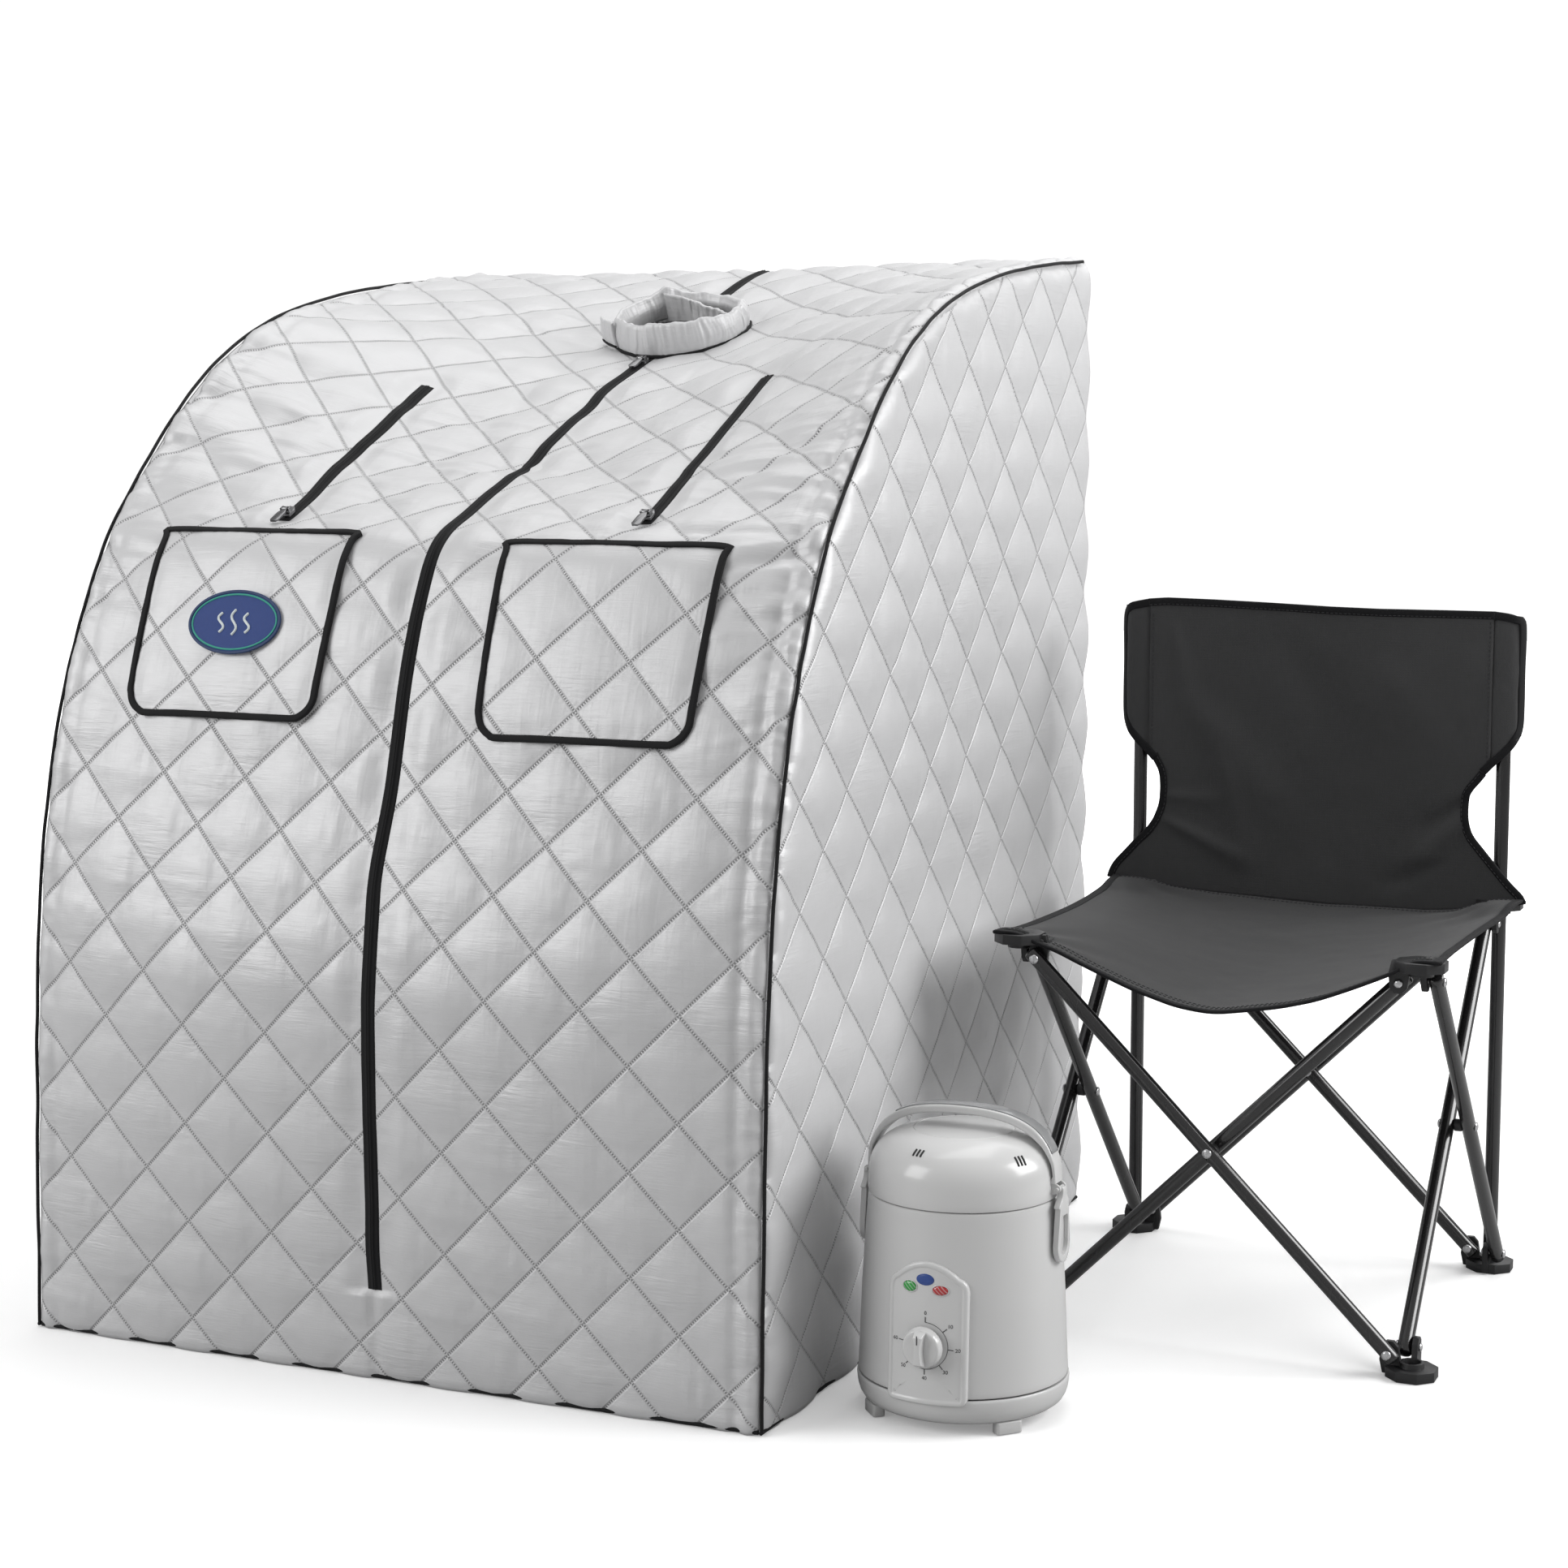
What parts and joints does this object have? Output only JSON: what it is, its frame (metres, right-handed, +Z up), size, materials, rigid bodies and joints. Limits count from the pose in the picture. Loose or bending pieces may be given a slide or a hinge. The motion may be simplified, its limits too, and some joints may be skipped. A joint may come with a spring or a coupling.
{
  "type": "portable steam sauna",
  "caption": "Quilted fabric steam cabin with neck opening, front zip, arm zips and pockets, plus a drum-shaped steam generator with timer and a folding scissor chair.",
  "frame": {"origin": "underside of the cabin's floor, at its centre", "axes": "+Z up, +X to the right seen from the front zip, +Y to the rear"},
  "size_m": [1.153, 0.7859, 0.945],
  "materials": {
    "quilted_satin": "silver-grey satin, diamond quilted",
    "black_piping": "woven black binding",
    "zip_tape": "black twill zip tape",
    "zip_metal": "bright plated zinc",
    "badge_fabric": "embroidered blue patch",
    "frame_rod": "bright steel rod",
    "steamer_plastic": "off-white semi-gloss moulding",
    "dark_plastic": "black moulding",
    "pot_steel": "drawn stainless",
    "green_lens": "clear green lens",
    "red_lens": "clear red lens",
    "black_tube": "gloss black enamel",
    "chair_canvas": "charcoal oxford weave"
  },
  "bodies": {
    "cabin": {"floor_panel": "quilted_satin", "back_panel": "quilted_satin", "left_side_panel": "quilted_satin", "right_side_panel": "quilted_satin", "front_left_panel": "quilted_satin", "front_right_panel": "quilted_satin", "piping_left": "black_piping", "piping_right": "black_piping", "main_zip_tape": "zip_tape", "rear_zip_tape": "zip_tape", "left_arm_zip_tape": "zip_tape", "right_arm_zip_tape": "zip_tape", "left_pocket": "quilted_satin", "right_pocket": "quilted_satin", "badge": "badge_fabric", "neck_collar": "quilted_satin", "frame_bow_left": "frame_rod", "frame_bow_right": "frame_rod", "crossbar_ridge": "frame_rod", "crossbar_rear_top": "frame_rod"},
    "main_slider": {"main_zip_slider": "zip_metal"},
    "main_pull": {"main_zip_pull": "zip_metal"},
    "left_arm_slider": {"left_arm_zip_slider": "zip_metal"},
    "left_arm_pull": {"left_arm_zip_pull": "zip_metal"},
    "right_arm_slider": {"right_arm_zip_slider": "zip_metal"},
    "right_arm_pull": {"right_arm_zip_pull": "zip_metal"},
    "flap": {"collar_flap": "quilted_satin"},
    "steamer": {"steamer_base": "steamer_plastic", "steamer_body": "steamer_plastic", "control_panel": "steamer_plastic", "green_lamp": "green_lens", "red_lamp": "red_lens", "timer_unit": "dark_plastic", "water_pot": "pot_steel", "heating_element": "pot_steel"},
    "knob": {"timer_knob": "steamer_plastic"},
    "lid": {"steamer_lid": "steamer_plastic", "steamer_handle": "steamer_plastic"},
    "clip_left": {"latch_left": "steamer_plastic"},
    "clip_right": {"latch_right": "steamer_plastic"},
    "chair_base": {"rear_right_foot": "dark_plastic", "rear_right_post": "black_tube", "back_sling": "chair_canvas"},
    "rear_a": {"rear_tube_a": "black_tube"},
    "rear_b": {"rear_tube_b": "black_tube"},
    "rear_left_base": {"rear_left_foot": "dark_plastic", "rear_left_post": "black_tube"},
    "rear_right_top": {"rear_right_top_bracket": "dark_plastic", "seat_sling": "chair_canvas"},
    "rear_left_top": {"rear_left_top_bracket": "dark_plastic"},
    "right_a": {"right_tube_a": "black_tube"},
    "right_b": {"right_tube_b": "black_tube"},
    "front_right_base": {"front_right_foot": "dark_plastic"},
    "front_right_top": {"front_right_top_bracket": "dark_plastic"},
    "left_a": {"left_tube_a": "black_tube"},
    "left_b": {"left_tube_b": "black_tube"},
    "front_left_base": {"front_left_foot": "dark_plastic"},
    "front_left_top": {"front_left_top_bracket": "dark_plastic"},
    "front_a": {"front_tube_a": "black_tube"},
    "front_b": {"front_tube_b": "black_tube"}
  },
  "joints": [
    {"name": "main_zip_slide", "type": "slide", "parent": "cabin", "child": "main_slider", "axis": [0, -0.9269, -0.3754], "range_m": [0, 0.385]},
    {"name": "main_zip_pull_swing", "type": "hinge", "parent": "main_slider", "child": "main_pull", "pos_m": [0, 0.10642, 0.84618], "axis": [-1, 0, 0], "range_deg": [0, 115]},
    {"name": "left_arm_zip_slide", "type": "slide", "parent": "cabin", "child": "left_arm_slider", "axis": [0, 0.8893, 0.4574], "range_m": [0, 0.255]},
    {"name": "left_arm_zip_pull_swing", "type": "hinge", "parent": "left_arm_slider", "child": "left_arm_pull", "pos_m": [-0.172, -0.23689, 0.71025], "axis": [-1, 0, 0], "range_deg": [0, 150]},
    {"name": "right_arm_zip_slide", "type": "slide", "parent": "cabin", "child": "right_arm_slider", "axis": [0, 0.8893, 0.4574], "range_m": [0, 0.255]},
    {"name": "right_arm_zip_pull_swing", "type": "hinge", "parent": "right_arm_slider", "child": "right_arm_pull", "pos_m": [0.178, -0.23689, 0.71025], "axis": [-1, 0, 0], "range_deg": [0, 150]},
    {"name": "collar_flap_swing", "type": "hinge", "parent": "cabin", "child": "flap", "pos_m": [-0.04164, 0.14057, 0.85502], "axis": [0, -0.3754, 0.9269], "range_deg": [0, 35]},
    {"name": "steamer_lift", "type": "slide", "parent": "cabin", "child": "steamer", "axis": [0, 0, 1], "range_m": [0, 0.3]},
    {"name": "timer_knob_turn", "type": "hinge", "parent": "steamer", "child": "knob", "pos_m": [0.463, -0.336, 0.0724], "axis": [0, 1, 0], "range_deg": [0, 300]},
    {"name": "lid_lift", "type": "slide", "parent": "steamer", "child": "lid", "axis": [0, 0, 1], "range_m": [0, 0.12]},
    {"name": "left_clip_swing", "type": "hinge", "parent": "lid", "child": "clip_left", "pos_m": [0.3824, -0.248, 0.186], "axis": [0, 1, 0], "range_deg": [0, 24]},
    {"name": "right_clip_swing", "type": "hinge", "parent": "lid", "child": "clip_right", "pos_m": [0.5436, -0.248, 0.186], "axis": [0, -1, 0], "range_deg": [0, 95]},
    {"name": "chair_lift", "type": "slide", "parent": "cabin", "child": "chair_base", "axis": [0, 0, 1], "range_m": [0, 0.3]},
    {"name": "chair_fold", "type": "hinge", "parent": "chair_base", "child": "rear_a", "pos_m": [0.76015, 0.30765, 0.02], "axis": [0, 1, 0], "range_deg": [0, 36], "deforming": ["seat_sling", "back_sling"]},
    {"name": "rear_cross", "type": "hinge", "parent": "rear_a", "child": "rear_b", "pos_m": [0.606, 0.30765, 0.17415], "axis": [0, 1, 0], "range_deg": [-72, 0]},
    {"name": "rear_left_foot_pivot", "type": "hinge", "parent": "rear_b", "child": "rear_left_base", "pos_m": [0.45185, 0.30765, 0.02], "axis": [0, 1, 0], "range_deg": [0, 36]},
    {"name": "rear_right_top_pivot", "type": "hinge", "parent": "rear_b", "child": "rear_right_top", "pos_m": [0.76015, 0.30765, 0.3283], "axis": [0, 1, 0], "range_deg": [0, 36]},
    {"name": "rear_left_top_pivot", "type": "hinge", "parent": "rear_a", "child": "rear_left_top", "pos_m": [0.45185, 0.30765, 0.3283], "axis": [0, 1, 0], "range_deg": [-36, 0]},
    {"name": "right_foot_pivot", "type": "hinge", "parent": "chair_base", "child": "right_a", "pos_m": [0.77815, 0.28965, 0.02], "axis": [-1, 0, 0], "range_deg": [0, 36]},
    {"name": "right_cross", "type": "hinge", "parent": "right_a", "child": "right_b", "pos_m": [0.77815, 0.1355, 0.17415], "axis": [-1, 0, 0], "range_deg": [-72, 0]},
    {"name": "front_right_foot_pivot", "type": "hinge", "parent": "right_b", "child": "front_right_base", "pos_m": [0.77815, -0.01865, 0.02], "axis": [-1, 0, 0], "range_deg": [0, 36]},
    {"name": "front_right_top_pivot", "type": "hinge", "parent": "right_a", "child": "front_right_top", "pos_m": [0.77815, -0.01865, 0.3283], "axis": [-1, 0, 0], "range_deg": [-36, 0]},
    {"name": "left_foot_pivot", "type": "hinge", "parent": "rear_left_base", "child": "left_a", "pos_m": [0.43385, 0.28965, 0.02], "axis": [-1, 0, 0], "range_deg": [0, 36]},
    {"name": "left_cross", "type": "hinge", "parent": "left_a", "child": "left_b", "pos_m": [0.43385, 0.1355, 0.17415], "axis": [-1, 0, 0], "range_deg": [-72, 0]},
    {"name": "front_left_foot_pivot", "type": "hinge", "parent": "left_b", "child": "front_left_base", "pos_m": [0.43385, -0.01865, 0.02], "axis": [-1, 0, 0], "range_deg": [0, 36]},
    {"name": "front_left_top_pivot", "type": "hinge", "parent": "left_a", "child": "front_left_top", "pos_m": [0.43385, -0.01865, 0.3283], "axis": [-1, 0, 0], "range_deg": [-36, 0]},
    {"name": "front_foot_pivot", "type": "hinge", "parent": "front_right_base", "child": "front_a", "pos_m": [0.76015, -0.03665, 0.02], "axis": [0, 1, 0], "range_deg": [0, 36]},
    {"name": "front_cross", "type": "hinge", "parent": "front_a", "child": "front_b", "pos_m": [0.606, -0.03665, 0.17415], "axis": [0, 1, 0], "range_deg": [-72, 0]}
  ],
  "couplings": [
    {"joint": "rear_cross", "follows": "chair_fold", "ratio": -2},
    {"joint": "rear_left_foot_pivot", "follows": "chair_fold", "ratio": 1},
    {"joint": "rear_right_top_pivot", "follows": "chair_fold", "ratio": 1},
    {"joint": "rear_left_top_pivot", "follows": "chair_fold", "ratio": -1},
    {"joint": "right_foot_pivot", "follows": "chair_fold", "ratio": 1},
    {"joint": "right_cross", "follows": "chair_fold", "ratio": -2},
    {"joint": "front_right_foot_pivot", "follows": "chair_fold", "ratio": 1},
    {"joint": "front_right_top_pivot", "follows": "chair_fold", "ratio": -1},
    {"joint": "left_foot_pivot", "follows": "chair_fold", "ratio": 1},
    {"joint": "left_cross", "follows": "chair_fold", "ratio": -2},
    {"joint": "front_left_foot_pivot", "follows": "chair_fold", "ratio": 1},
    {"joint": "front_left_top_pivot", "follows": "chair_fold", "ratio": -1},
    {"joint": "front_foot_pivot", "follows": "chair_fold", "ratio": 1},
    {"joint": "front_cross", "follows": "chair_fold", "ratio": -2}
  ]
}
